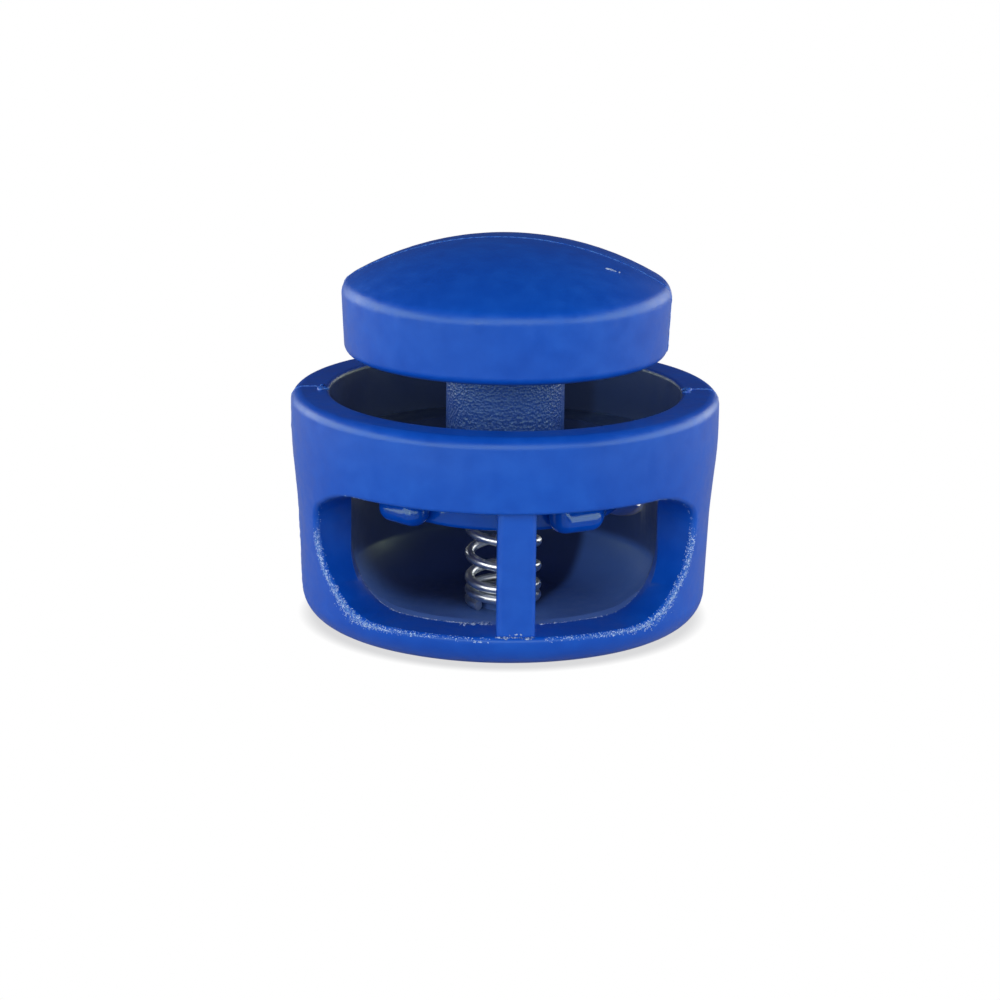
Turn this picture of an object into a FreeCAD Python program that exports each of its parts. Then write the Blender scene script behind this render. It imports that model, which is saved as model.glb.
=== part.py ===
import FreeCAD, Part
import math
import os

# Round cord lock: barrel housing, spring-loaded plunger and compression spring.
# Millimetres. Z is up along the barrel's axis, z = 0 is the underside of the base,
# and the front window faces -Y.

# Housing outside
body_height = 13.1
rim_radius = 12.1
base_radius = 11.42
waist_radius = 11.71        # at the height where the wall starts to swell into the collar
waist_height = 6.5
collar_height = 10.4        # above this the collar is upright
wall_bend_radius = 20.0     # softens the bends between base, waist and collar
base_edge_radius = 1.75
rim_outer_edge_radius = 0.65
rim_inner_edge_radius = 0.25

# Housing inside
bore_radius = 9.95          # the cap sinks into this bore
ledge_top = 9.8
ledge_bottom = 8.85
ledge_radius = 7.7          # the plunger's lugs snap in under this ledge
cavity_radius = 8.75
floor_height = 0.4          # spring seat
seat_radius = 5.0           # flat part of the floor
dish_edge_height = 2.85     # where the curved-up floor meets the cavity wall
boss_radius = 1.4           # locates the spring's lowest coil
boss_height = 1.0
boss_edge_radius = 0.4

# Windows
front_window = {
    "side": -1,
    "left": -8.65,
    "right": 8.6,
    "sill": 1.84,
    "lower_corner": 3.0,
    "jamb_lower_bend": 3.6,     # distance from the jamb's side where its slope starts
    "jamb_side_low": 4.9,       # heights between which the jamb's side is upright
    "jamb_side_high": 7.4,
    "jamb_upper_bend": 2.6,
    "jamb_bend_radii": [5.0, 3.6, 1.4, 6.0],
}
back_window = {
    "side": 1,
    "left": -7.2,
    "right": 8.3,
    "sill": 4.2,
    "lower_corner": 1.8,
    "jamb_lower_bend": 1.8,
    "jamb_side_low": 5.9,
    "jamb_side_high": 7.4,
    "jamb_upper_bend": 1.8,
    "jamb_bend_radii": [2.4, 2.0, 1.0, 2.0],
}
window_upper_corner = 1.4
flare_angle = 38.0          # degrees by which each jamb opens outwards
flare_inset = 0.2           # the flare starts this far inside the window's side
window_edge_radius = 0.25

# Rib in each window
rib_width = 2.1
rib_offset = 0.5            # the front rib stands a little to the right of the middle
rib_front_radius = 11.15    # distance of the rib's outer face from the axis
rib_inner_distance = 8.1
rib_edge_radius = 0.35

# Plunger
cap_bottom = 15.25
cap_bottom_radius = 9.1
cap_wall_top = 19.1
cap_wall_top_radius = 9.3
cap_height = 21.8
cap_bottom_edge_radius = 0.55
cap_top_edge_radius = 0.9
stem_radius = 3.35
disc_bottom = 6.5
disc_top = 8.7
disc_radius = 6.65
disc_edge_radius = 0.3
lug_inner_side = 3.35       # the gap between two lugs takes the rib
lug_outer_side = 6.3
lug_tip_radius = 8.5
lug_corner_radius = 0.9     # upright edges at the lug's tip
lug_lower_edge_radius = 0.8
pocket_radius = 2.45
pocket_top = 12.8
pocket_mouth_chamfer = 0.3
plunger_turn = -9.0         # degrees about Z, within the lugs' play at the rib

# Spring
wire_diameter = 0.55
coil_mean_radius = 1.93
end_pitch = 0.57
closing_pitches = [0.62, 1.4]
active_pitch = 1.52
spring_start_turn = 0.13    # where the wire's lower end lies, in turns from the front
points_per_turn = 16

# Motion
travel = 4.0

up = FreeCAD.Vector(0, 0, 1)
origin = FreeCAD.Vector(0, 0, 0)
overlap = 1.0               # how far cutters reach past what they cut
rib_root = 0.4              # how far the rib runs up into the ledge
tolerance = 0.01            # for telling edges apart
outer_edge_reach = 0.5      # a window's outer edges lie within this of the base radius


def section_point(radius, height):
    return FreeCAD.Vector(radius, 0, height)


def rounded_outline(corners, radii):
    # closed wire through the corner points, with each corner rounded by its own radius
    count = len(corners)
    edges = []
    ends = []
    for index in range(count):
        corner = corners[index]
        before = (corners[index - 1] - corner).normalize()
        after = (corners[(index + 1) % count] - corner).normalize()
        radius = radii[index]
        if radius == 0:
            ends.append((corner, corner))
            continue
        half_angle = before.getAngle(after) / 2
        start = corner + before * (radius / math.tan(half_angle))
        end = corner + after * (radius / math.tan(half_angle))
        centre_way = (before + after).normalize()
        middle = corner + centre_way * (radius / math.sin(half_angle) - radius)
        edges.append(Part.Arc(start, middle, end).toShape())
        ends.append((start, end))
    for index in range(count):
        line_start = ends[index - 1][1]
        line_end = ends[index][0]
        edges.append(Part.makeLine(line_start, line_end))
    return Part.Wire(Part.__sortEdges__(edges))


def turned(wire):
    return Part.Face(wire).revolve(origin, up, 360)


def outer_body():
    # the solid barrel: drafted wall swelling into the collar, rounded base and rim
    corners = [
        section_point(0, 0),
        section_point(base_radius, 0),
        section_point(waist_radius, waist_height),
        section_point(rim_radius, collar_height),
        section_point(rim_radius, body_height),
        section_point(0, body_height),
    ]
    radii = [0, base_edge_radius, wall_bend_radius, wall_bend_radius, rim_outer_edge_radius, 0]
    return turned(rounded_outline(corners, radii))


def bore_cut():
    # cap bore, hole through the retaining ledge, and the bore's rounded mouth
    mouth = section_point(bore_radius + rim_inner_edge_radius, body_height)
    mouth_middle_step = rim_inner_edge_radius * (1 - math.sqrt(0.5))
    mouth_middle = section_point(bore_radius + mouth_middle_step, body_height - mouth_middle_step)
    mouth_low = section_point(bore_radius, body_height - rim_inner_edge_radius)
    edges = [Part.Arc(mouth, mouth_middle, mouth_low).toShape()]
    points = [
        mouth_low,
        section_point(bore_radius, ledge_top),
        section_point(ledge_radius, ledge_top),
        section_point(ledge_radius, ledge_bottom - overlap),
        section_point(0, ledge_bottom - overlap),
        section_point(0, body_height + overlap),
        section_point(bore_radius + rim_inner_edge_radius, body_height + overlap),
        mouth,
    ]
    for start, end in zip(points, points[1:]):
        edges.append(Part.makeLine(start, end))
    return turned(Part.Wire(Part.__sortEdges__(edges)))


def cavity_cut():
    # room under the ledge: flat spring seat, floor curving up to the wall, and the boss
    run = cavity_radius - seat_radius
    rise = dish_edge_height - floor_height
    curve_radius = (run ** 2 + rise ** 2) / (2 * rise)
    middle_angle = math.asin(run / curve_radius) / 2
    floor_curve = Part.Arc(
        section_point(seat_radius, floor_height),
        section_point(
            seat_radius + curve_radius * math.sin(middle_angle),
            floor_height + curve_radius * (1 - math.cos(middle_angle)),
        ),
        section_point(cavity_radius, dish_edge_height),
    ).toShape()
    points = [
        section_point(cavity_radius, dish_edge_height),
        section_point(cavity_radius, ledge_bottom),
        section_point(0, ledge_bottom),
        section_point(0, floor_height),
        section_point(seat_radius, floor_height),
    ]
    edges = [floor_curve]
    for start, end in zip(points, points[1:]):
        edges.append(Part.makeLine(start, end))
    room = turned(Part.Wire(Part.__sortEdges__(edges)))
    boss_corners = [
        section_point(0, 0),
        section_point(boss_radius, 0),
        section_point(boss_radius, floor_height + boss_height),
        section_point(0, floor_height + boss_height),
    ]
    boss = turned(rounded_outline(boss_corners, [0, 0, boss_edge_radius, 0]))
    return room.cut(boss)


def jamb_cut(window, edge_x):
    # opens one side of a window outwards, along a line turned away from the window's middle
    way = 1 if edge_x > 0 else -1
    start_x = edge_x - way * flare_inset
    start_y = math.sqrt(cavity_radius ** 2 - start_x ** 2)
    inner_end = -start_x
    corners = [
        FreeCAD.Vector(inner_end, 0, window["sill"]),
        FreeCAD.Vector(-way * window["jamb_lower_bend"], 0, window["sill"]),
        FreeCAD.Vector(0, 0, window["jamb_side_low"]),
        FreeCAD.Vector(0, 0, window["jamb_side_high"]),
        FreeCAD.Vector(-way * window["jamb_upper_bend"], 0, ledge_bottom),
        FreeCAD.Vector(inner_end, 0, ledge_bottom),
    ]
    outline = rounded_outline(corners, [0] + window["jamb_bend_radii"] + [0])
    cutter = Part.Face(outline).extrude(FreeCAD.Vector(0, rim_radius, 0))
    cutter.rotate(origin, up, -way * flare_angle)
    cutter.translate(FreeCAD.Vector(start_x, start_y, 0))
    return cutter


def window_cut(window):
    # opening through one wall, straight in the middle and flared at both jambs
    corners = [
        FreeCAD.Vector(window["left"], 0, window["sill"]),
        FreeCAD.Vector(window["right"], 0, window["sill"]),
        FreeCAD.Vector(window["right"], 0, ledge_bottom),
        FreeCAD.Vector(window["left"], 0, ledge_bottom),
    ]
    lower = window["lower_corner"]
    outline = rounded_outline(corners, [lower, lower, window_upper_corner, window_upper_corner])
    opening = Part.Face(outline).extrude(FreeCAD.Vector(0, rim_radius + overlap, 0))
    if window["side"] < 0:
        opening = opening.mirror(origin, FreeCAD.Vector(0, 1, 0))
    for edge_x in (window["left"], window["right"]):
        jamb = jamb_cut(window, edge_x)
        if window["side"] < 0:
            jamb = jamb.mirror(origin, FreeCAD.Vector(0, 1, 0))
        opening = opening.fuse(jamb)
    return opening.removeSplitter()


def is_window_edge(edge, window):
    # edges where a window breaks through the barrel's outer face
    middle = edge.valueAt((edge.FirstParameter + edge.LastParameter) / 2)
    level = edge.BoundBox.ZLength < tolerance
    at_sill = abs(middle.z - window["sill"]) < tolerance
    at_ledge = abs(middle.z - ledge_bottom) < tolerance
    return (
        math.hypot(middle.x, middle.y) > base_radius - outer_edge_reach
        and window["side"] * middle.y > tolerance
        and window["sill"] - tolerance < middle.z < ledge_bottom + tolerance
        and (at_sill or at_ledge or not level)
    )


def rib(side, offset):
    # upright bar across a window, from the base up into the collar
    bottom = base_edge_radius
    height = ledge_bottom + rib_root - bottom
    depth = rib_front_radius + overlap - rib_inner_distance
    corner = FreeCAD.Vector(offset - rib_width / 2, rib_inner_distance, bottom)
    if side < 0:
        corner.y = -rib_inner_distance - depth
    bar = Part.makeBox(rib_width, depth, height, corner)
    limit = Part.makeCylinder(rib_front_radius, height, FreeCAD.Vector(0, 0, bottom))
    bar = bar.common(limit)
    uprights = []
    for edge in bar.Edges:
        ends = [vertex.Point for vertex in edge.Vertexes]
        if abs(ends[0].z - ends[1].z) > height / 2:
            uprights.append(edge)
    return bar.makeFillet(rib_edge_radius, uprights)


def make_housing():
    housing = outer_body().cut(bore_cut()).cut(cavity_cut())
    for window in (front_window, back_window):
        housing = housing.cut(window_cut(window)).removeSplitter()
        rounded = [edge for edge in housing.Edges if is_window_edge(edge, window)]
        housing = housing.makeFillet(window_edge_radius, rounded)
    housing = housing.fuse(rib(-1, rib_offset)).fuse(rib(1, -rib_offset))
    return housing.removeSplitter()


def level_edges(shape, height):
    # every edge lying flat at the given height
    found = []
    for edge in shape.Edges:
        box = edge.BoundBox
        if box.ZLength < tolerance and abs(box.ZMin - height) < tolerance:
            found.append(edge)
    return found


def make_cap():
    # push cap: drafted wall under a shallow spherical dome
    rise = cap_height - cap_wall_top
    sphere_radius = (cap_wall_top_radius ** 2 + rise ** 2) / (2 * rise)
    middle_radius = cap_wall_top_radius / 2
    middle_drop = sphere_radius - math.sqrt(sphere_radius ** 2 - middle_radius ** 2)
    dome = Part.Arc(
        section_point(cap_wall_top_radius, cap_wall_top),
        section_point(middle_radius, cap_height - middle_drop),
        section_point(0, cap_height),
    ).toShape()
    points = [
        section_point(0, cap_height),
        section_point(0, cap_bottom),
        section_point(cap_bottom_radius, cap_bottom),
        section_point(cap_wall_top_radius, cap_wall_top),
    ]
    edges = [dome]
    for start, end in zip(points, points[1:]):
        edges.append(Part.makeLine(start, end))
    cap = turned(Part.Wire(Part.__sortEdges__(edges)))
    cap = cap.makeFillet(cap_top_edge_radius, level_edges(cap, cap_wall_top))
    return cap.makeFillet(cap_bottom_edge_radius, level_edges(cap, cap_bottom))


def make_lug(side_x, side_y):
    # snap lug: a rounded tooth reaching out to the tip radius, level on top
    tip_inner = math.sqrt(lug_tip_radius ** 2 - lug_inner_side ** 2)
    tip_outer = math.sqrt(lug_tip_radius ** 2 - lug_outer_side ** 2)
    corners = [
        FreeCAD.Vector(side_x * lug_inner_side, 0, disc_bottom),
        FreeCAD.Vector(side_x * lug_outer_side, 0, disc_bottom),
        FreeCAD.Vector(side_x * lug_outer_side, side_y * tip_outer, disc_bottom),
        FreeCAD.Vector(side_x * lug_inner_side, side_y * tip_inner, disc_bottom),
    ]
    outline = rounded_outline(corners, [0, 0, lug_corner_radius, lug_corner_radius])
    lug = Part.Face(outline).extrude(FreeCAD.Vector(0, 0, disc_top - disc_bottom))
    lower_edges = []
    for edge in lug.Edges:
        box = edge.BoundBox
        if box.ZMax < disc_bottom + tolerance and abs(box.Center.y) > tolerance:
            lower_edges.append(edge)
    return lug.makeFillet(lug_lower_edge_radius, lower_edges)


def make_plunger():
    disc_corners = [
        section_point(0, disc_bottom),
        section_point(disc_radius, disc_bottom),
        section_point(disc_radius, disc_top),
        section_point(0, disc_top),
    ]
    plunger = turned(rounded_outline(disc_corners, [0, disc_edge_radius, disc_edge_radius, 0]))
    for side_x in (-1, 1):
        for side_y in (-1, 1):
            plunger = plunger.fuse(make_lug(side_x, side_y))
    stem_height = cap_bottom - disc_top + overlap
    stem = Part.makeCylinder(stem_radius, stem_height, FreeCAD.Vector(0, 0, disc_top - overlap / 2))
    plunger = plunger.fuse(stem).fuse(make_cap())
    pocket = Part.makeCylinder(
        pocket_radius, pocket_top - disc_bottom + overlap, FreeCAD.Vector(0, 0, disc_bottom - overlap)
    )
    mouth = Part.makeCone(
        pocket_radius + pocket_mouth_chamfer,
        pocket_radius,
        pocket_mouth_chamfer,
        FreeCAD.Vector(0, 0, disc_bottom),
    )
    plunger = plunger.cut(pocket).cut(mouth).removeSplitter()
    plunger.rotate(origin, up, plunger_turn)
    return plunger


def coil_heights():
    # height gained in each whole turn: closed ends, a short opening, then even active coils
    wire_run = pocket_top - floor_height - wire_diameter
    opening = [end_pitch] + closing_pitches
    active_run = wire_run - 2 * sum(opening)
    active_turns = active_run / active_pitch
    whole = int(active_turns)
    pitches = opening + [active_pitch] * whole
    remainder = active_turns - whole
    return pitches, remainder, list(reversed(opening))


def make_spring():
    # left-hand coil, swept along a smooth curve whose pitch changes turn by turn
    lower, remainder, upper = coil_heights()
    turn_marks = [0.0]
    height_marks = [floor_height + wire_diameter / 2]
    for pitch in lower:
        turn_marks.append(turn_marks[-1] + 1.0)
        height_marks.append(height_marks[-1] + pitch)
    turn_marks.append(turn_marks[-1] + remainder)
    height_marks.append(height_marks[-1] + remainder * active_pitch)
    for pitch in upper:
        turn_marks.append(turn_marks[-1] + 1.0)
        height_marks.append(height_marks[-1] + pitch)
    total_turns = turn_marks[-1]
    count = int(total_turns * points_per_turn)
    points = []
    for index in range(count + 1):
        turns = total_turns * index / count
        segment = 0
        while segment < len(turn_marks) - 2 and turns > turn_marks[segment + 1]:
            segment += 1
        share = (turns - turn_marks[segment]) / (turn_marks[segment + 1] - turn_marks[segment])
        height = height_marks[segment] + share * (height_marks[segment + 1] - height_marks[segment])
        angle = -math.pi / 2 - 2 * math.pi * (turns + spring_start_turn)
        x = coil_mean_radius * math.cos(angle)
        y = coil_mean_radius * math.sin(angle)
        points.append(FreeCAD.Vector(x, y, height))
    path = Part.BSplineCurve()
    path.interpolate(points)
    spine = Part.Wire([path.toShape()])
    section = Part.Wire([Part.makeCircle(wire_diameter / 2, points[0], path.tangent(path.FirstParameter)[0])])
    shell = Part.BRepOffsetAPI.MakePipeShell(spine)
    shell.setFrenetMode(False)
    shell.setBiNormalMode(up)
    shell.add(section)
    shell.build()
    shell.makeSolid()
    length = 2 * math.pi * coil_mean_radius * total_turns
    print("spring turns", round(total_turns, 2), "wire length about", round(length, 1))
    return Part.Solid(shell.shape()), length


def report(name, shape):
    box = shape.BoundBox
    print(
        name, "solids", len(shape.Solids), "valid", shape.isValid(), "volume", round(shape.Volume, 2),
        "box", [round(value, 3) for value in (box.XMin, box.YMin, box.ZMin, box.XMax, box.YMax, box.ZMax)],
    )


def main():
    os.makedirs("parts", exist_ok=True)
    housing = make_housing()
    plunger = make_plunger()
    spring, wire_length = make_spring()
    for name, shape in (("housing", housing), ("plunger", plunger), ("spring", spring)):
        report(name, shape)
        shape.exportStep("parts/" + name + ".step")
    expected = wire_length * math.pi * (wire_diameter / 2) ** 2
    print("spring volume against wire length:", round(spring.Volume / expected, 4))
    for drop in (0.0, travel):
        moved = plunger.copy()
        moved.translate(FreeCAD.Vector(0, 0, -drop))
        print("plunger down", drop, "gap to housing", round(moved.distToShape(housing)[0], 3))


main()
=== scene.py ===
import bpy
import bmesh
import math
import random
from mathutils import Matrix, Vector
from mathutils.bvhtree import BVHTree


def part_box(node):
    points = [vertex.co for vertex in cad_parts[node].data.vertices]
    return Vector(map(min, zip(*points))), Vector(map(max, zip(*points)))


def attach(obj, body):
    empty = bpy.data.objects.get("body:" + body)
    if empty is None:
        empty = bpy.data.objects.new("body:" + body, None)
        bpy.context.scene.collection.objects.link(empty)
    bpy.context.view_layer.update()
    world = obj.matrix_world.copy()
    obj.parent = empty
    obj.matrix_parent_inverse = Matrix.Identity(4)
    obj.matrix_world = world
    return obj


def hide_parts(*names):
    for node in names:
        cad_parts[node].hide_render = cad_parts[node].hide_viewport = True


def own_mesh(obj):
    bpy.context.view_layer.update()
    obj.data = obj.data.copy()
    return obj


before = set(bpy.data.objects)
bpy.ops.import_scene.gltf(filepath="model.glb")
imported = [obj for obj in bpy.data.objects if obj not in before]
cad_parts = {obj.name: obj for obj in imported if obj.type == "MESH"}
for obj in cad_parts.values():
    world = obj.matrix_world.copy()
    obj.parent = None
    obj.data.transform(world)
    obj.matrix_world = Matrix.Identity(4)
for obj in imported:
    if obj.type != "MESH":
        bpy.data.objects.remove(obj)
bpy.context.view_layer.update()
mm = 0.001
print("frame loaded")


def newPiece(name, bm):
    # turns a finished bmesh into an object in the scene
    mesh = bpy.data.meshes.new(name)
    bm.to_mesh(mesh)
    bm.free()
    piece = bpy.data.objects.new(name, mesh)
    bpy.context.scene.collection.objects.link(piece)
    return piece


def smoothFaces(bm, sharpDegrees):
    limit = math.radians(sharpDegrees)
    for face in bm.faces:
        face.smooth = True
    for edge in bm.edges:
        if len(edge.link_faces) == 2:
            edge.smooth = edge.calc_face_angle(0.0) < limit


def shaken(rng, reach):
    # random step of up to the reach along each axis
    return Vector([rng.uniform(-reach, reach) for axis in range(3)])


class Surface:
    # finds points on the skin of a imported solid
    def __init__(self, node):
        bm = bmesh.new()
        bm.from_mesh(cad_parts[node].data)
        self.tree = BVHTree.FromBMesh(bm)
        bm.free()

    def nearest(self, point):
        place, normal, index, gap = self.tree.find_nearest(Vector(point))
        return place, normal

    def hit(self, start, way):
        place, normal, index, gap = self.tree.ray_cast(Vector(start), Vector(way).normalized())
        return place, normal


def addBead(bm, path, radii, sides=8):
    # closed tube along the path, with its own radius at every point
    rings = []
    last = len(path) - 1
    for index, point in enumerate(path):
        tangent = (path[min(index + 1, last)] - path[max(index - 1, 0)]).normalized()
        turn = tangent.to_track_quat("Z", "Y").to_matrix().to_4x4()
        made = bmesh.ops.create_circle(
            bm, cap_ends=index in (0, last), segments=sides, radius=radii[index],
            matrix=Matrix.Translation(point) @ turn,
        )
        ring = list({edge for vert in made["verts"] for edge in vert.link_edges})
        rings.append(ring)
    for first, second in zip(rings, rings[1:]):
        bmesh.ops.bridge_loops(bm, edges=first + second)


crumb = {
    "length": (0.7, 1.5),
    "width": (0.6, 1.1),
    "height": (0.45, 0.8),
    "roughening": 0.18,
}


def addGrain(bm, place, normal, radius, rng):
    # one small crumb pressed into the surface
    spin = Matrix.Rotation(rng.uniform(0, math.tau), 4, "Z")
    stand = normal.to_track_quat("Z", "Y").to_matrix().to_4x4()
    stretch = [rng.uniform(*crumb[side]) for side in ("length", "width", "height")]
    shape = Matrix.Diagonal((*stretch, 1.0))
    made = bmesh.ops.create_icosphere(
        bm, subdivisions=1, radius=radius, matrix=Matrix.Translation(place) @ stand @ spin @ shape,
    )
    for vert in made["verts"]:
        vert.co += shaken(rng, crumb["roughening"] * radius)


def finishDetail(name, bm, material, body, sharpDegrees=50.0):
    bmesh.ops.recalc_face_normals(bm, faces=bm.faces)
    smoothFaces(bm, sharpDegrees)
    piece = newPiece(name, bm)
    piece.data.materials.append(material)
    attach(piece, body)
    return piece


class Nodes:
    # small helper that adds and links shader nodes
    def __init__(self, name):
        self.material = bpy.data.materials.new(name)
        self.material.use_nodes = True
        self.tree = self.material.node_tree
        self.shader = self.tree.nodes["Principled BSDF"]
        self.coords = self.tree.nodes.new("ShaderNodeTexCoord").outputs["Object"]

    def add(self, kind, **values):
        node = self.tree.nodes.new(kind)
        for key, value in values.items():
            setattr(node, key, value)
        return node

    def link(self, output, socket):
        self.tree.links.new(output, socket)

    def constant(self, number):
        node = self.add("ShaderNodeValue")
        node.outputs[0].default_value = number
        return node.outputs[0]

    def position(self):
        # object coordinates as x, y and z
        split = self.add("ShaderNodeSeparateXYZ")
        self.link(self.coords, split.inputs[0])
        return split.outputs

    def blend(self, share, first, second):
        # colour mix; either colour is a fixed value or another node's output
        node = self.add("ShaderNodeMix", data_type="RGBA")
        self.link(share, node.inputs[0])
        for index, colour in ((6, first), (7, second)):
            if isinstance(colour, tuple):
                node.inputs[index].default_value = colour
            else:
                self.link(colour, node.inputs[index])
        return node.outputs[2]

    def noise(self, scale, detail, roughness):
        node = self.add("ShaderNodeTexNoise")
        node.inputs["Scale"].default_value = scale
        node.inputs["Detail"].default_value = detail
        node.inputs["Roughness"].default_value = roughness
        self.link(self.coords, node.inputs["Vector"])
        return node.outputs["Fac"]

    def math(self, operation, first, second):
        node = self.add("ShaderNodeMath", operation=operation)
        for index, value in enumerate((first, second)):
            if isinstance(value, (int, float)):
                node.inputs[index].default_value = value
            else:
                self.link(value, node.inputs[index])
        return node.outputs[0]

    def ramp(self, fac, stops):
        node = self.add("ShaderNodeValToRGB")
        elements = node.color_ramp.elements
        elements[0].position, elements[0].color = stops[0]
        elements[1].position, elements[1].color = stops[-1]
        for position, colour in stops[1:-1]:
            elements.new(position).color = colour
        self.link(fac, node.inputs["Fac"])
        return node.outputs["Color"]

    def span(self, value, low, high, outLow, outHigh):
        node = self.add("ShaderNodeMapRange", clamp=True)
        node.interpolation_type = "SMOOTHSTEP"
        for index, number in enumerate((low, high, outLow, outHigh)):
            node.inputs[index + 1].default_value = number
        self.link(value, node.inputs[0])
        return node.outputs[0]

    def bump(self, height, distance, strength, below=None):
        node = self.add("ShaderNodeBump")
        node.inputs["Distance"].default_value = distance
        node.inputs["Strength"].default_value = strength
        self.link(height, node.inputs["Height"])
        if below is not None:
            self.link(below, node.inputs["Normal"])
        return node.outputs["Normal"]


plastic = {
    "deepBlue": (0.0004, 0.057, 0.430, 1.0),
    "blue": (0.0006, 0.068, 0.480, 1.0),
    "paleBlue": (0.0015, 0.083, 0.530, 1.0),
    "sparkBlue": (0.10, 0.24, 0.62, 1.0),
    "sparkShare": 0.55,
    "specularTint": (0.70, 1.0, 0.55, 1.0),
    "specularLevel": 0.62,
    "ior": 1.46,
    "roughness": (0.33, 0.45),
    "mottleScale": 900.0,
    "mottleDepth": 0.00003,
    "mottleStrength": 0.35,
    "cloudScale": 160.0,
    "grainScale": 6400.0,
    "grainDepth": 0.000065,
}


def plasticMaterial(name, grainZone, paintedShadeZone, glossZone, crown):
    # moulded royal blue: cloudy satin skin with fine mottling, spark-eroded grain in one zone,
    # and, in the inside zone, painted shade with patches of painted light
    nodes = Nodes(name)
    cloud = nodes.noise(plastic["cloudScale"], 3.0, 0.55)
    mottle = nodes.noise(plastic["mottleScale"], 4.0, 0.6)
    tone = nodes.math("ADD", nodes.math("MULTIPLY", cloud, 0.5), nodes.math("MULTIPLY", mottle, 0.5))
    skinColour = nodes.ramp(tone, [
        (0.32, plastic["deepBlue"]),
        (0.50, plastic["blue"]),
        (0.68, plastic["paleBlue"]),
    ])
    speck = nodes.add("ShaderNodeTexVoronoi")
    speck.inputs["Scale"].default_value = plastic["grainScale"]
    nodes.link(nodes.coords, speck.inputs["Vector"])
    mask = grainZone(nodes)
    sparkle = nodes.span(speck.outputs["Color"], 0.62, 0.95, 0.0, plastic["sparkShare"])
    grained = nodes.blend(nodes.math("MULTIPLY", sparkle, mask), skinColour, plastic["sparkBlue"])
    # painted shade inside the barrel, with painted light patches, mixed over the moulded skin
    colour = nodes.blend(paintedShadeZone(nodes), grained, paintedInsideShadeAndLight(nodes))
    nodes.link(colour, nodes.shader.inputs["Base Color"])
    rough = nodes.span(mottle, 0.30, 0.70, *plastic["roughness"])
    nodes.link(nodes.math("MULTIPLY", rough, glossZone(nodes)), nodes.shader.inputs["Roughness"])
    skin = nodes.bump(mottle, plastic["mottleDepth"], plastic["mottleStrength"], crown(nodes))
    erosion = nodes.math("MULTIPLY", speck.outputs["Distance"], mask)
    nodes.link(nodes.bump(erosion, plastic["grainDepth"], 1.0, skin), nodes.shader.inputs["Normal"])
    nodes.shader.inputs["IOR"].default_value = plastic["ior"]
    nodes.shader.inputs["Specular IOR Level"].default_value = plastic["specularLevel"]
    nodes.shader.inputs["Specular Tint"].default_value = plastic["specularTint"]
    return nodes.material


inside = {
    # the darker blue is painted shade inside the barrel; the lighter blue is painted light on its floor
    "paintedShadeBlue": (0.022, 0.038, 0.135, 1.0),
    "paintedLightBlue": (0.082, 0.185, 0.560, 1.0),
    "rightSlope": -2.4,
    "rightEdge": (-5.6 * mm, -3.6 * mm),
    "leftSlope": 0.42,
    "leftEdge": (-3.4 * mm, 0.8 * mm),
    "floorTop": (2.7 * mm, 3.3 * mm),
    "wallShare": 0.20,
}


def paintedInsideShadeAndLight(nodes):
    # painted shade inside, with patches of painted light where the front window would light the floor on
    # either side
    across, depth, height = nodes.position()
    rightLine = nodes.math("ADD", nodes.math("MULTIPLY", across, inside["rightSlope"]), depth)
    leftLine = nodes.math("ADD", nodes.math("MULTIPLY", across, inside["leftSlope"]), depth)
    rightPaintedLight = nodes.span(rightLine, *inside["rightEdge"], 1.0, 0.0)
    leftPaintedLight = nodes.span(leftLine, *inside["leftEdge"], 1.0, 0.0)
    onFloor = nodes.span(height, *inside["floorTop"], 1.0, inside["wallShare"])
    # painted light: the lit floor patches on either side are colour, not lamp light
    paintedLightShare = nodes.math("MULTIPLY", nodes.math("MAXIMUM", rightPaintedLight, leftPaintedLight), onFloor)
    return nodes.blend(paintedLightShare, inside["paintedShadeBlue"], inside["paintedLightBlue"])


lugs = {
    "crownStart": 7.05 * mm,
    "crownHeight": 1.6 * mm,
    "crownCurve": -300.0,
    "innerSide": (3.0 * mm, 3.6 * mm),
    "stemStart": (8.9 * mm, 9.4 * mm),
    "glossTop": (8.8 * mm, 9.2 * mm),
    "gloss": 0.32,
}


def lugCrown(nodes):
    # rounds the upper half of the lugs' faces
    place = nodes.position()
    across = place["X"]
    height = place["Z"]
    above = nodes.math("MAXIMUM", nodes.math("SUBTRACT", height, lugs["crownStart"]), 0.0)
    limited = nodes.math("MINIMUM", above, lugs["crownHeight"])
    squared = nodes.math("MULTIPLY", limited, limited)
    sideways = nodes.math("ABSOLUTE", across, 0.0)
    onLugs = nodes.span(sideways, *lugs["innerSide"], 0.0, lugs["crownCurve"])
    belowStem = nodes.span(height, *lugs["stemStart"], 1.0, 0.0)
    return nodes.bump(nodes.math("MULTIPLY", nodes.math("MULTIPLY", squared, onLugs), belowStem), 1.0, 1.0)


def discGloss(nodes):
    # the clamp disc and its lugs are glossier than the rest
    height = nodes.position()["Z"]
    return nodes.span(height, *lugs["glossTop"], lugs["gloss"], 1.0)


def evenGloss(nodes):
    return nodes.constant(1.0)


def noZone(nodes):
    return nodes.constant(0.0)


def noCrown(nodes):
    return None


zones = {
    "stemRadius": (3.4 * mm, 3.6 * mm),
    "stemTop": (15.1 * mm, 15.3 * mm),
    "cavityRadius": (8.80 * mm, 8.95 * mm),
    "boreRadius": (9.97 * mm, 10.05 * mm),
    "boreBottom": (8.9 * mm, 9.1 * mm),
    "capUnderside": (15.2 * mm, 15.5 * mm),
    "discTop": (8.6 * mm, 8.8 * mm),
    "stemShadeShare": 0.55,
}


def axisDistance(nodes):
    # distance from the barrel's axis, and height
    across, depth, height = nodes.position()
    squareX = nodes.math("MULTIPLY", across, across)
    squareY = nodes.math("MULTIPLY", depth, depth)
    return nodes.math("SQRT", nodes.math("ADD", squareX, squareY), 0.0), height


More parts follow.
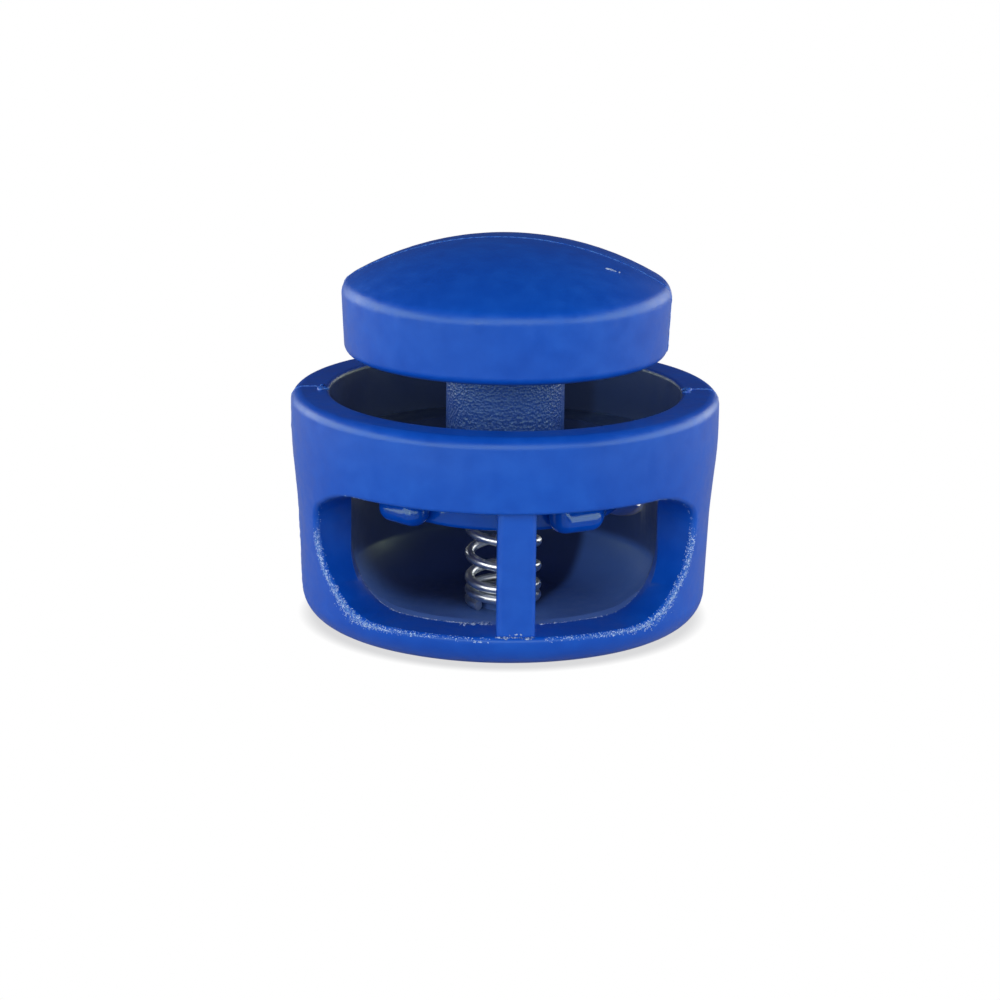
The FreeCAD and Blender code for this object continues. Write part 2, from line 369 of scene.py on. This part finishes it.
def stemZone(nodes):
    # 1 on the plunger's stem and nowhere else
    radius, height = axisDistance(nodes)
    near = nodes.span(radius, *zones["stemRadius"], 1.0, 0.0)
    return nodes.math("MULTIPLY", near, nodes.span(height, *zones["stemTop"], 1.0, 0.0))


def paintedCavityShadeZone(nodes):
    # 1 inside the barrel, where the painted shade goes: floor, cavity wall, ledge and bore
    radius, height = axisDistance(nodes)
    cavity = nodes.span(radius, *zones["cavityRadius"], 1.0, 0.0)
    withinBore = nodes.span(radius, *zones["boreRadius"], 1.0, 0.0)
    bore = nodes.math("MULTIPLY", withinBore, nodes.span(height, *zones["boreBottom"], 0.0, 1.0))
    return nodes.math("MAXIMUM", cavity, bore)


def paintedStemShadeZone(nodes):
    # part of the way to the painted inside shade from the clamp disc's top to the cap's underside
    radius, height = axisDistance(nodes)
    underCap = nodes.span(height, *zones["capUnderside"], 1.0, 0.0)
    aboveDisc = nodes.span(height, *zones["discTop"], 0.0, 1.0)
    return nodes.math("MULTIPLY", nodes.math("MULTIPLY", underCap, aboveDisc), zones["stemShadeShare"])


steel = {
    "dull": (0.78, 0.83, 0.84, 1.0),
    "bright": (0.93, 0.96, 0.96, 1.0),
    "roughness": (0.30, 0.38),
    "streakScale": 1500.0,
}


def steelMaterial():
    nodes = Nodes("zincSteel")
    streak = nodes.noise(steel["streakScale"], 2.0, 0.5)
    colour = nodes.ramp(streak, [(0.3, steel["dull"]), (0.7, steel["bright"])])
    nodes.link(colour, nodes.shader.inputs["Base Color"])
    nodes.link(nodes.span(streak, 0.3, 0.7, *steel["roughness"]), nodes.shader.inputs["Roughness"])
    nodes.shader.inputs["Metallic"].default_value = 1.0
    return nodes.material


whitened = {
    "scale": 5200.0,
    "roughness": (0.22, 0.45),
    "flash": [(0.020, 0.08, 0.30, 1.0), (0.50, 0.62, 0.80, 1.0)],
    "burr": [(0.050, 0.20, 0.58, 1.0), (0.42, 0.56, 0.82, 1.0)],
    "seam": [(0.004, 0.07, 0.44, 1.0), (0.06, 0.20, 0.62, 1.0)],
}


def whitenedMaterial(name, dull, bright):
    # plastic whitened where it was torn or scuffed at the mould's parting edges
    nodes = Nodes(name)
    tone = nodes.noise(whitened["scale"], 2.0, 0.6)
    nodes.link(nodes.ramp(tone, [(0.38, dull), (0.62, bright)]), nodes.shader.inputs["Base Color"])
    nodes.link(nodes.span(tone, 0.3, 0.7, *whitened["roughness"]), nodes.shader.inputs["Roughness"])
    return nodes.material


housingBlue = plasticMaterial("housingBlue", noZone, paintedCavityShadeZone, evenGloss, noCrown)
plungerBlue = plasticMaterial("plungerBlue", stemZone, paintedStemShadeZone, discGloss, lugCrown)
zincSteel = steelMaterial()
flashBlue = whitenedMaterial("flashBlue", *whitened["flash"])
burrBlue = whitenedMaterial("burrBlue", *whitened["burr"])
seamBlue = whitenedMaterial("seamBlue", *whitened["seam"])
print("materials ready")


shells = {
    "mergeDistance": 0.000001,
    "sharpDegrees": 32.0,
    "normalWeight": 70,
}


def mouldedShell(node, name, material, body):
    # a clean, smooth-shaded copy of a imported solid
    bm = bmesh.new()
    bm.from_mesh(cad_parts[node].data)
    bmesh.ops.remove_doubles(bm, verts=bm.verts, dist=shells["mergeDistance"])
    bmesh.ops.dissolve_degenerate(bm, edges=bm.edges, dist=shells["mergeDistance"])
    smoothFaces(bm, shells["sharpDegrees"])
    piece = newPiece(name, bm)
    piece.data.materials.append(material)
    modifier = piece.modifiers.new("evenNormals", "WEIGHTED_NORMAL")
    modifier.keep_sharp = True
    modifier.weight = shells["normalWeight"]
    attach(piece, body)
    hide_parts(node)
    return piece


housingShell = mouldedShell("housing", "barrel_housing", housingBlue, "housing")
plungerShell = mouldedShell("plunger", "push_plunger", plungerBlue, "plunger")
print("moulded shells ready")


spring = {
    "wireDiameter": 0.55 * mm,
    "coilRadius": 1.93 * mm,
    "endPitch": 0.57 * mm,
    "openingPitches": [0.62 * mm, 1.4 * mm],
    "activePitch": 1.52 * mm,
    "startTurn": 0.13,
    "stepsPerTurn": 56,
    "wireSides": 18,
    "sharpDegrees": 50.0,
}


def makeSpring():
    low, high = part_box("spring")
    wireRadius = spring["wireDiameter"] / 2
    run = high.z - low.z - spring["wireDiameter"]
    opening = [spring["endPitch"]] + spring["openingPitches"]
    activeTurns = (run - 2 * sum(opening)) / spring["activePitch"]
    stretches = [(1.0, pitch) for pitch in opening]
    stretches.append((activeTurns, spring["activePitch"]))
    stretches += [(1.0, pitch) for pitch in reversed(opening)]
    startAngle = -math.pi / 2 - 2 * math.pi * spring["startTurn"]
    bm = bmesh.new()
    made = bmesh.ops.create_circle(bm, segments=spring["wireSides"], radius=wireRadius)
    stand = Matrix.Rotation(math.pi / 2, 4, "X")
    place = Matrix.Translation((spring["coilRadius"], 0, low.z + wireRadius))
    turn = Matrix.Rotation(startAngle, 4, "Z")
    bmesh.ops.transform(bm, matrix=turn @ place @ stand, verts=made["verts"])
    firstRing = list(bm.edges)
    ring = firstRing
    for turns, pitch in stretches:
        steps = max(2, round(spring["stepsPerTurn"] * turns))
        spun = bmesh.ops.spin(
            bm, geom=ring, cent=(0, 0, 0), axis=(0, 0, -1), dvec=(0, 0, pitch * turns / steps),
            angle=2 * math.pi * turns, steps=steps, use_duplicate=False, use_merge=False,
        )
        ring = [item for item in spun["geom_last"] if isinstance(item, bmesh.types.BMEdge)]
    bmesh.ops.contextual_create(bm, geom=firstRing)
    bmesh.ops.contextual_create(bm, geom=ring)
    bmesh.ops.recalc_face_normals(bm, faces=bm.faces)
    smoothFaces(bm, spring["sharpDegrees"])
    piece = newPiece("coil_spring", bm)
    piece.data.materials.append(zincSteel)
    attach(piece, "housing")
    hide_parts("spring")
    return piece, low.z, high.z


coil, coilLow, coilHigh = makeSpring()
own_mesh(coil)
print("spring ready")


housingSkin = Surface("housing")
plungerSkin = Surface("plunger")

rayStart = 30.0 * mm  # outside the whole lock

capSeam = {
    "seed": 11,
    "turn": -7.5,
    "centreHeight": 15.4 * mm,
    "pastHorizontal": 8,
    "steps": 140,
    "lowestSlope": 0.02,
    "shortestStep": 0.04 * mm,
    "beadRadius": 0.055 * mm,
    "beadSizes": (0.75, 1.2),
    "sink": 0.015 * mm,
    "crumbs": 46,
    "crumbRadius": 0.035 * mm,
    "crumbSizes": (0.6, 1.3),
    "crumbScatter": 0.09,
}


def makeCapSeam():
    # parting ridge over the dome and down both sides of the cap
    rng = random.Random(capSeam["seed"])
    turn = math.radians(capSeam["turn"])
    along = Vector((math.cos(turn), math.sin(turn), 0))
    centre = Vector((0, 0, capSeam["centreHeight"]))
    sweep = 180 + 2 * capSeam["pastHorizontal"]
    path = []
    for step in range(capSeam["steps"] + 1):
        angle = math.radians(-capSeam["pastHorizontal"] + sweep * step / capSeam["steps"])
        way = along * math.cos(angle) + Vector((0, 0, 1)) * math.sin(angle)
        if way.z < capSeam["lowestSlope"]:
            way = along * math.copysign(1.0, way.x) + Vector((0, 0, capSeam["lowestSlope"]))
        place, normal = plungerSkin.hit(centre + way * rayStart, -way)
        path.append(place - normal * capSeam["sink"])
    clean = [path[0]]
    for point in path[1:]:
        if (point - clean[-1]).length > capSeam["shortestStep"]:
            clean.append(point)
    radii = [capSeam["beadRadius"] * rng.uniform(*capSeam["beadSizes"]) for point in clean]
    bm = bmesh.new()
    addBead(bm, clean, radii)
    scatter = capSeam["crumbScatter"]
    for index in range(capSeam["crumbs"]):
        point = rng.choice(clean) + Vector((0, rng.uniform(-scatter, scatter) * mm, 0))
        place, normal = plungerSkin.nearest(point)
        addGrain(bm, place, normal, capSeam["crumbRadius"] * rng.uniform(*capSeam["crumbSizes"]), rng)
    return finishDetail("cap_parting_seam", bm, seamBlue, "plunger")


capMark = {
    "seed": 5,
    "start": (5.35, -3.1),
    "run": (0.62, 0.10),
    "steps": 8,
    "endRadius": 0.02 * mm,
    "swell": 0.055 * mm,
    "crumbPlace": (6.15, -2.95),
    "crumbRadius": 0.05 * mm,
}


def makeCapMark():
    # small raised scar near the dome's right shoulder, thickest in the middle, and a crumb beside it
    rng = random.Random(capMark["seed"])
    bm = bmesh.new()
    startX, startY = capMark["start"]
    runX, runY = capMark["run"]
    path = []
    radii = []
    for step in range(capMark["steps"] + 1):
        share = step / capMark["steps"]
        above = ((startX + runX * share) * mm, (startY + runY * share) * mm, rayStart)
        place, normal = plungerSkin.hit(above, (0, 0, -1))
        path.append(place)
        bulge = math.sin(math.pi * min(max(share, 0.05), 0.95))
        radii.append(capMark["endRadius"] + capMark["swell"] * bulge)
    addBead(bm, path, radii)
    crumbX, crumbY = capMark["crumbPlace"]
    place, normal = plungerSkin.hit((crumbX * mm, crumbY * mm, rayStart), (0, 0, -1))
    addGrain(bm, place, normal, capMark["crumbRadius"], rng)
    return finishDetail("cap_ejector_mark", bm, flashBlue, "plunger")


ringSeam = {
    "seed": 23,
    "innerRadius": 10.35,
    "ringRun": 1.45,
    "ringSteps": 15,
    "behindAxis": 0.25 * mm,
    "wander": (0.9, 1.1),
    "pillarTop": 12.9,
    "pillarRun": 11.7,
    "pillarSteps": 45,
    "pillarBehindAxis": 0.26 * mm,
    "beadRadius": 0.05 * mm,
    "beadSizes": (0.6, 1.25),
    "nubs": 7,
    "nubRadius": 0.23 * mm,
    "nubSizes": (0.5, 1.15),
    "nubStart": 10.05,
    "nubReach": 0.42,
    "nubSides": (-0.55, 0.65),
    "nubHeight": 13.05 * mm,
    "sharpDegrees": 60.0,
}


def makeRingSeams():
    # parting lines over the ring at both sides and down the pillars, with torn nubs at the bore
    rng = random.Random(ringSeam["seed"])
    bm = bmesh.new()
    for side in (-1, 1):
        path = []
        for step in range(ringSeam["ringSteps"] + 1):
            radius = (ringSeam["innerRadius"] + ringSeam["ringRun"] * step / ringSeam["ringSteps"]) * mm
            behind = ringSeam["behindAxis"] * rng.uniform(*ringSeam["wander"])
            place, normal = housingSkin.hit((side * radius, behind, rayStart), (0, 0, -1))
            path.append(place)
        for step in range(ringSeam["pillarSteps"] + 1):
            height = (ringSeam["pillarTop"] - ringSeam["pillarRun"] * step / ringSeam["pillarSteps"]) * mm
            start = (side * rayStart, ringSeam["pillarBehindAxis"], height)
            place, normal = housingSkin.hit(start, (-side, 0, 0))
            path.append(place)
        radii = [ringSeam["beadRadius"] * rng.uniform(*ringSeam["beadSizes"]) for point in path]
        addBead(bm, path, radii)
        for index in range(ringSeam["nubs"]):
            radius = (ringSeam["nubStart"] + ringSeam["nubReach"] * rng.random()) * mm
            across = rng.uniform(*ringSeam["nubSides"]) * mm
            place, normal = housingSkin.nearest((side * radius, across, ringSeam["nubHeight"]))
            addGrain(bm, place, normal, ringSeam["nubRadius"] * rng.uniform(*ringSeam["nubSizes"]), rng)
    return finishDetail("ring_parting_seams", bm, seamBlue, "housing", ringSeam["sharpDegrees"])


windowFlash = {
    "seed": 31,
    "crumbs": 420,
    "leftShare": 0.75,
    "leftSide": (-8.2, -0.8),
    "rightSide": (1.8, 8.2),
    "sill": 1.84,
    "cornerStart": 5.65,
    "cornerRadius": 3.0,
    "innerRadius": 8.9,
    "scatter": 0.035,
    "smallest": 0.014,
    "largest": 0.040,
    "middleReach": 3,
    "middleExtra": 0.03,
}


def makeWindowFlash():
    # thin torn flash along the inner edge of the front window's sill and lower corners
    rng = random.Random(windowFlash["seed"])
    corner = windowFlash["cornerRadius"]
    bm = bmesh.new()
    for index in range(windowFlash["crumbs"]):
        left = rng.random() < windowFlash["leftShare"]
        x = rng.uniform(*windowFlash["leftSide" if left else "rightSide"])
        past = abs(x) - windowFlash["cornerStart"]
        rise = corner - math.sqrt(corner ** 2 - past ** 2) if past > 0 else 0.0
        y = -math.sqrt(windowFlash["innerRadius"] ** 2 - x ** 2)
        point = Vector((x, y, windowFlash["sill"] + rise)) * mm
        shake = Vector([rng.gauss(0, windowFlash["scatter"]) * mm for axis in range(3)])
        place, normal = housingSkin.nearest(point + shake)
        extra = windowFlash["middleExtra"] if abs(x) < windowFlash["middleReach"] else 0.0
        radius = rng.uniform(windowFlash["smallest"], windowFlash["largest"] + extra) * mm
        addGrain(bm, place, normal, radius, rng)
    return finishDetail("window_flash", bm, flashBlue, "housing")


windowBurr = {
    "seed": 47,
    "centreHeight": 5.3 * mm,
    "stepLength": 0.05 * mm,
    "stepRange": (20, 240),
    "startAngle": -205,
    "sweep": 230,
    "angles": 360,
    "outerRadius": 11.38 * mm,
    "facing": -0.2,
    "ribMiddle": 0.5 * mm,
    "ribClear": 1.5 * mm,
    "crumbs": 9000,
    "radius": 0.034 * mm,
    "sizes": (0.4, 1.25),
    "cornerMiddle": 8.2 * mm,
    "cornerSpread": 2.3 * mm,
    "fadeTop": 6.6 * mm,
    "fade": 1.2 * mm,
    "leastShare": 0.05,
    "leastAway": 0.06,
    "cornerAway": 0.42,
    "scatter": 0.12 * mm,
}


def windowEdge():
    # walks outwards from the middle of the front window until its outer edge is met
    found = []
    for step in range(windowBurr["angles"] + 1):
        angle = math.radians(windowBurr["startAngle"] + windowBurr["sweep"] * step / windowBurr["angles"])
        outward = Vector((math.cos(angle), 0, math.sin(angle)))
        for reach in range(*windowBurr["stepRange"]):
            distance = reach * windowBurr["stepLength"]
            x = distance * math.cos(angle)
            z = windowBurr["centreHeight"] + distance * math.sin(angle)
            place, normal = housingSkin.hit((x, -rayStart, z), (0, 1, 0))
            if place is None:
                continue
            onOutside = place.y < 0 and math.hypot(place.x, place.y) > windowBurr["outerRadius"]
            if onOutside and normal.y < windowBurr["facing"]:
                if abs(x - windowBurr["ribMiddle"]) > windowBurr["ribClear"]:
                    found.append((place, outward))
                break
    return found


def makeWindowBurr():
    # rough, whitened grain along the outer edge of the front window, thickest at the lower corners
    rng = random.Random(windowBurr["seed"])
    points = windowEdge()
    least = windowBurr["leastShare"]
    bm = bmesh.new()
    for index in range(windowBurr["crumbs"]):
        edge, outward = rng.choice(points)
        corner = math.exp(-((abs(edge.x) - windowBurr["cornerMiddle"]) / windowBurr["cornerSpread"]) ** 2)
        corner *= min(max((windowBurr["fadeTop"] - edge.z) / windowBurr["fade"], 0.0), 1.0)
        if rng.random() > least + (1.0 - least) * corner:
            continue
        away = abs(rng.gauss(0, windowBurr["leastAway"] + windowBurr["cornerAway"] * corner)) * mm
        place, normal = housingSkin.nearest(edge + outward * away + shaken(rng, windowBurr["scatter"]))
        addGrain(bm, place, normal, windowBurr["radius"] * rng.uniform(*windowBurr["sizes"]), rng)
    return finishDetail("window_burr", bm, burrBlue, "housing")


ribFoot = {
    "seed": 59,
    "specks": 46,
    "speckSides": (-0.62, 1.62),
    "speckDepth": -11.2,
    "speckRun": 0.15,
    "speckHeight": 1.88,
    "speckScatter": 0.06,
    "speckSizes": (0.03, 0.085),
    "patchCrumbs": 60,
    "patchSides": (-2.6, -0.7),
    "patchDepth": -8.4,
    "patchRun": 0.6,
    "patchHeight": 1.80,
    "patchSizes": (0.02, 0.08),
}


def makeRibFoot():
    # torn specks where the rib meets the sill, and a patch of flash beside it
    rng = random.Random(ribFoot["seed"])
    bm = bmesh.new()
    for index in range(ribFoot["specks"]):
        x = rng.uniform(*ribFoot["speckSides"])
        y = ribFoot["speckDepth"] - rng.random() * ribFoot["speckRun"]
        z = ribFoot["speckHeight"] + rng.gauss(0, ribFoot["speckScatter"])
        place, normal = housingSkin.nearest(Vector((x, y, z)) * mm)
        addGrain(bm, place, normal, rng.uniform(*ribFoot["speckSizes"]) * mm, rng)
    for index in range(ribFoot["patchCrumbs"]):
        x = rng.uniform(*ribFoot["patchSides"])
        y = ribFoot["patchDepth"] - rng.random() * ribFoot["patchRun"]
        place, normal = housingSkin.nearest(Vector((x, y, ribFoot["patchHeight"])) * mm)
        addGrain(bm, place, normal, rng.uniform(*ribFoot["patchSizes"]) * mm, rng)
    return finishDetail("rib_foot_flash", bm, flashBlue, "housing")


makeCapSeam()
makeCapMark()
makeRingSeams()
makeWindowFlash()
makeWindowBurr()
makeRibFoot()
print("mould marks ready")


studio = {
    "floorSize": 3.0,
    "floorBounce": (0.60, 0.60, 0.61, 1.0),
    "surround": 0.06,
    "cameraAway": 187.0 * mm,
    "cameraHeight": 56.0 * mm,
    "cameraTurn": -1.2,
    "lookAtHeight": 6.58 * mm,
    "lookAtSide": -0.23 * mm,
    "lens": 122.0,
    "sensor": 36.0,
    "roll": 0.7,
    "clipStart": 0.01,
    # reach and grey of the painted contact shadow on the floor
    "paintedShadowReach": 1.0 * mm,
    "paintedShadowGrey": (0.70, 0.70, 0.71, 1.0),
    "paleGrey": (1.0, 1.0, 1.0, 1.0),
}

panels = {
    "leftPanel": {
        "place": (-0.30, -0.20, 0.085), "target": (0.0, -0.20, 0.01), "size": (1.30, 0.20),
        "power": 2.3, "colour": (1.0, 1.0, 0.98),
    },
    "rightPanel": {
        "place": (0.30, 0.10, 0.085), "target": (0.0, 0.10, 0.01), "size": (0.85, 0.20),
        "power": 1.5, "colour": (1.0, 1.0, 0.98),
    },
    "frontPanel": {
        "place": (0.03, -0.55, 0.24), "target": (0.0, 0.0, 0.01), "size": (0.70, 0.40),
        "power": 2.1, "colour": (1.0, 1.0, 1.0),
    },
}


def makeFloor():
    # looks near white with a painted contact shadow near the object, but sends only a little light back
    # onto the object
    bm = bmesh.new()
    bmesh.ops.create_grid(bm, x_segments=2, y_segments=2, size=studio["floorSize"] / 2)
    floor = newPiece("floor", bm)
    nodes = Nodes("paleFloor")
    path = nodes.add("ShaderNodeLightPath")
    shade = nodes.add("ShaderNodeAmbientOcclusion")
    shade.inputs["Distance"].default_value = studio["paintedShadowReach"]
    # painted contact shadow: grey near the object where the ambient occlusion is low
    tone = nodes.ramp(shade.outputs["AO"], [(0.30, studio["paintedShadowGrey"]), (0.92, studio["paleGrey"])])
    glow = nodes.add("ShaderNodeEmission")
    nodes.link(tone, glow.inputs["Color"])
    mix = nodes.add("ShaderNodeMixShader")
    nodes.link(path.outputs["Is Camera Ray"], mix.inputs[0])
    nodes.link(nodes.shader.outputs[0], mix.inputs[1])
    nodes.link(glow.outputs[0], mix.inputs[2])
    nodes.link(mix.outputs[0], nodes.tree.nodes["Material Output"].inputs["Surface"])
    nodes.shader.inputs["Base Color"].default_value = studio["floorBounce"]
    nodes.shader.inputs["Roughness"].default_value = 0.9
    nodes.shader.inputs["Specular IOR Level"].default_value = 0.1
    floor.data.materials.append(nodes.material)


def softLight(name, panel):
    light = bpy.data.lights.new(name, "AREA")
    light.shape = "RECTANGLE"
    light.size, light.size_y = panel["size"]
    light.energy = panel["power"]
    light.color = panel["colour"]
    lamp = bpy.data.objects.new(name, light)
    lamp.location = panel["place"]
    aim = Vector(panel["target"]) - Vector(panel["place"])
    lamp.rotation_euler = aim.to_track_quat("-Z", "Y").to_euler()
    bpy.context.scene.collection.objects.link(lamp)


def makeSurround():
    # white to the camera, dim to the object
    world = bpy.data.worlds.new("studio")
    world.use_nodes = True
    tree = world.node_tree
    seen = tree.nodes.new("ShaderNodeLightPath")
    level = tree.nodes.new("ShaderNodeMapRange")
    level.inputs["To Min"].default_value = studio["surround"]
    level.inputs["To Max"].default_value = 1.0
    tree.links.new(seen.outputs["Is Camera Ray"], level.inputs["Value"])
    tree.links.new(level.outputs[0], tree.nodes["Background"].inputs["Strength"])
    tree.nodes["Background"].inputs["Color"].default_value = studio["paleGrey"]
    bpy.context.scene.world = world
    bpy.context.scene.view_settings.view_transform = "Standard"


def makeCamera():
    camera = bpy.data.objects.new("camera", bpy.data.cameras.new("camera"))
    turn = math.radians(studio["cameraTurn"])
    place = Vector((
        studio["cameraAway"] * math.sin(turn),
        -studio["cameraAway"] * math.cos(turn),
        studio["cameraHeight"],
    ))
    target = Vector((studio["lookAtSide"], 0, studio["lookAtHeight"]))
    aim = (target - place).to_track_quat("-Z", "Y").to_matrix().to_4x4()
    roll = Matrix.Rotation(math.radians(studio["roll"]), 4, "Z")
    camera.matrix_world = Matrix.Translation(place) @ aim @ roll
    camera.data.lens = studio["lens"]
    camera.data.sensor_width = studio["sensor"]
    camera.data.clip_start = studio["clipStart"]
    bpy.context.scene.collection.objects.link(camera)
    bpy.context.scene.camera = camera


makeFloor()
for panelName, panelValues in panels.items():
    softLight(panelName, panelValues)
makeSurround()
makeCamera()
print("studio ready")
